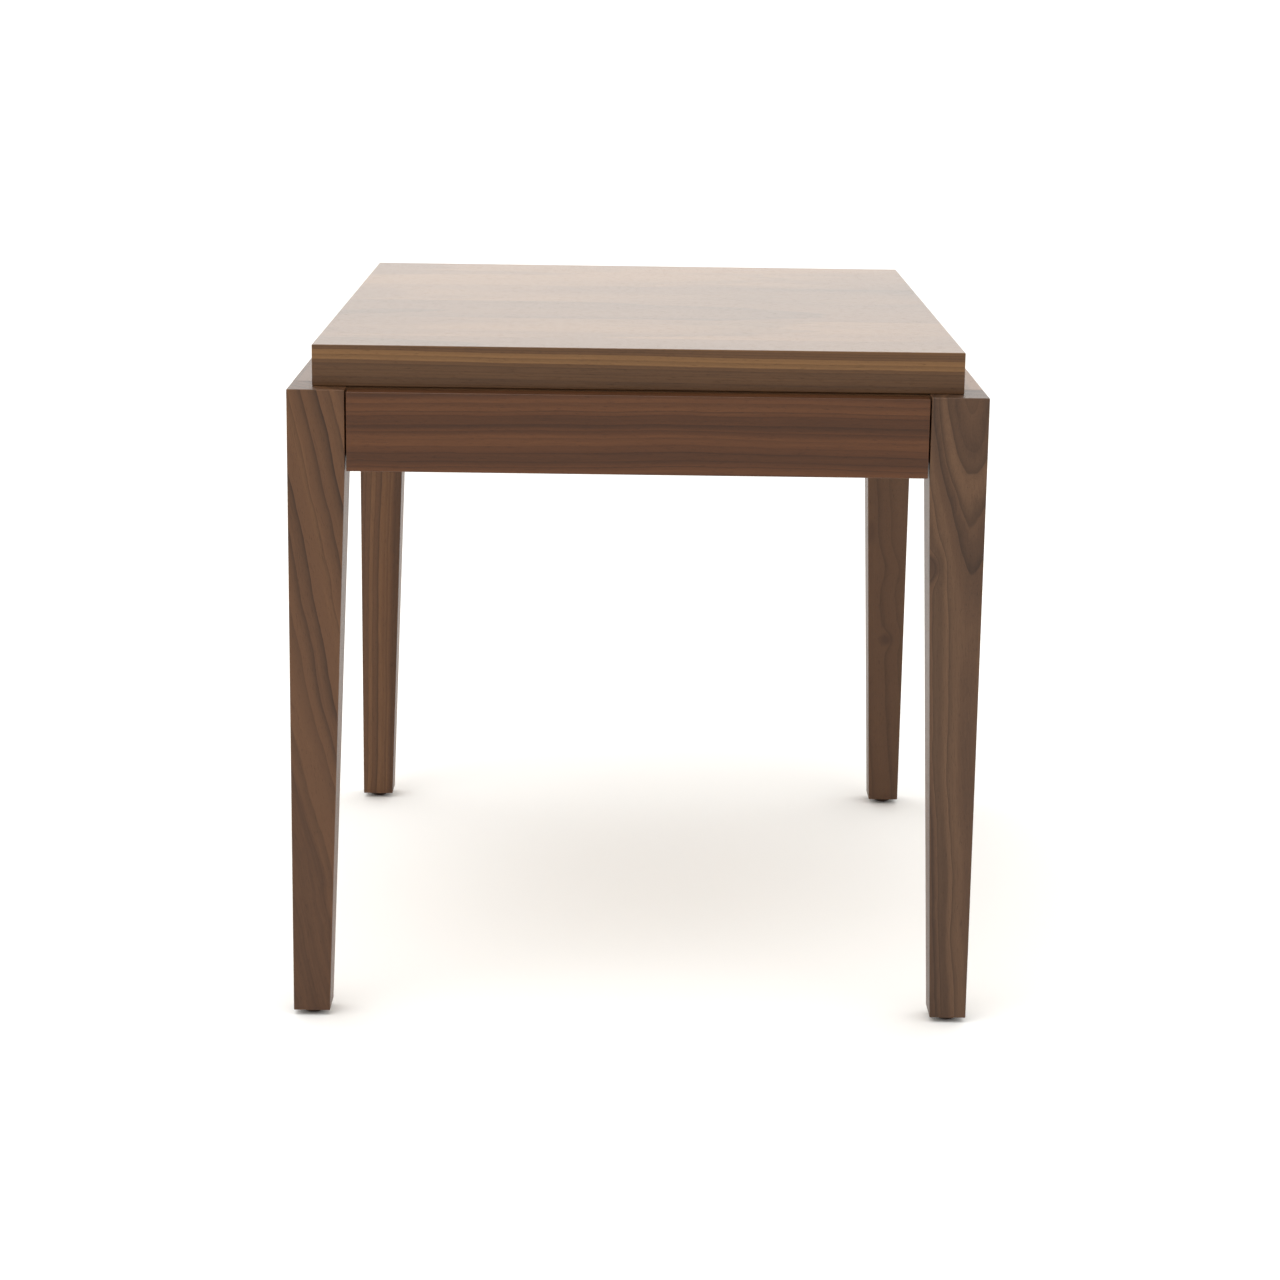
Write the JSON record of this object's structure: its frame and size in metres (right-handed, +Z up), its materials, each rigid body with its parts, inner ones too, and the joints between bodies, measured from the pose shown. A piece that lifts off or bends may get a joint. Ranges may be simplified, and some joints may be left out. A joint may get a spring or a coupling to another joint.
{
  "type": "side table with drawer",
  "caption": "Walnut side table with an inset slab top on a leg-and-apron frame, and a drawer without a handle between its front legs.",
  "frame": {"origin": "on the floor, at the middle of the footprint of the legs", "axes": "+Z up, +X to the right as seen from the drawer, -Y the way the drawer opens"},
  "size_m": [0.559, 0.66, 0.559],
  "materials": {
    "walnut": "clear satin lacquer",
    "secondary_wood": "clear matt lacquer",
    "plywood": "clear matt lacquer",
    "zinc_steel": "bright zinc plate",
    "screw_steel": "clear zinc plate",
    "glide_plastic": "moulded satin",
    "bumper_rubber": "soft translucent"
  },
  "bodies": {
    "frame": {"table_top": "walnut", "leg_front_left": "walnut", "leg_front_right": "walnut", "leg_back_left": "walnut", "leg_back_right": "walnut", "apron_left": "walnut", "apron_right": "walnut", "apron_back": "walnut", "front_rail": "walnut", "slide_packer_left": "secondary_wood", "slide_packer_right": "secondary_wood", "corner_block_left": "secondary_wood", "corner_block_right": "secondary_wood", "slide_outer_left": "zinc_steel", "slide_outer_right": "zinc_steel", "glide_front_left": "glide_plastic", "glide_front_right": "glide_plastic", "glide_back_left": "glide_plastic", "glide_back_right": "glide_plastic", "top_screw_front_left": "screw_steel", "top_screw_front_right": "screw_steel", "top_screw_middle_left": "screw_steel", "top_screw_middle_right": "screw_steel", "top_screw_back_left": "screw_steel", "top_screw_back_right": "screw_steel", "block_side_screw_left": "screw_steel", "block_side_screw_right": "screw_steel", "block_back_screw_left": "screw_steel", "block_back_screw_right": "screw_steel", "packer_screw_front_left": "screw_steel", "packer_screw_front_right": "screw_steel", "packer_screw_back_left": "screw_steel", "packer_screw_back_right": "screw_steel", "slide_screw_front_left": "screw_steel", "slide_screw_front_right": "screw_steel", "slide_screw_back_left": "screw_steel", "slide_screw_back_right": "screw_steel"},
    "middle_left": {"slide_middle_left": "zinc_steel"},
    "middle_right": {"slide_middle_right": "zinc_steel"},
    "drawer": {"drawer_front": "walnut", "drawer_box_front": "secondary_wood", "drawer_back": "secondary_wood", "drawer_side_left": "secondary_wood", "drawer_side_right": "secondary_wood", "drawer_bottom": "plywood", "slide_inner_left": "zinc_steel", "slide_inner_right": "zinc_steel", "bumper_left": "bumper_rubber", "bumper_right": "bumper_rubber", "runner_screw_front_left": "screw_steel", "runner_screw_front_right": "screw_steel", "runner_screw_back_left": "screw_steel", "runner_screw_back_right": "screw_steel", "front_screw_inner_left": "screw_steel", "front_screw_inner_right": "screw_steel", "front_screw_outer_left": "screw_steel", "front_screw_outer_right": "screw_steel"}
  },
  "joints": [
    {"name": "drawer_slide", "type": "slide", "parent": "frame", "child": "drawer", "axis": [0, -1, 0], "range_m": [0, 0.45]},
    {"name": "middle_slide_left", "type": "slide", "parent": "frame", "child": "middle_left", "axis": [0, -1, 0], "range_m": [0, 0.226]},
    {"name": "middle_slide_right", "type": "slide", "parent": "frame", "child": "middle_right", "axis": [0, -1, 0], "range_m": [0, 0.226]}
  ],
  "couplings": [
    {"joint": "middle_slide_left", "follows": "drawer_slide", "ratio": 0.5},
    {"joint": "middle_slide_right", "follows": "drawer_slide", "ratio": 0.5}
  ]
}
